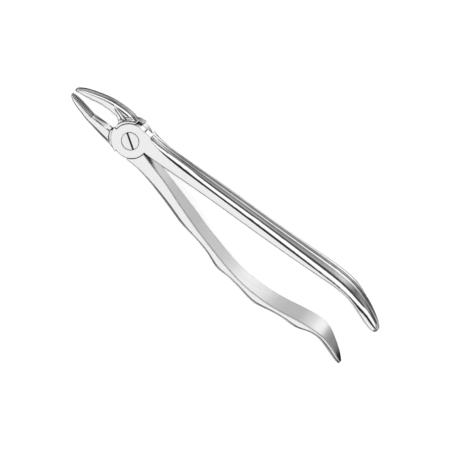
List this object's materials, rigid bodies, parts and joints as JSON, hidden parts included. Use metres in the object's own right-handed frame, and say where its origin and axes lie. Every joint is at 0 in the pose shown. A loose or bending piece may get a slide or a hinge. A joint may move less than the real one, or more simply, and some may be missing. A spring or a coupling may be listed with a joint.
{
  "type": "dental extraction forceps",
  "caption": "Polished steel hand forceps with a screwed lap joint, short serrated beaks and two long handles, one grooved for the fingers.",
  "frame": {"origin": "where the pivot axis meets the rear face of the joint", "axes": "+X from the pivot to the handle ends, +Y to the plain handle, +Z along the pivot axis to the screw head"},
  "size_m": [0.1754, 0.0402, 0.0168],
  "materials": {
    "plain_half_steel": "polished, joint flats satin",
    "grooved_half_steel": "polished, joint flats and inner face satin",
    "screw_steel": "satin"
  },
  "bodies": {
    "rear_lever": {"rear_half": "grooved_half_steel", "joint_screw": "screw_steel"},
    "front_lever": {"front_half": "plain_half_steel"}
  },
  "joints": [
    {"name": "pivot", "type": "hinge", "parent": "rear_lever", "child": "front_lever", "pos_m": [0, 0, 0], "axis": [0, 0, 1], "range_deg": [-1, 32]}
  ]
}
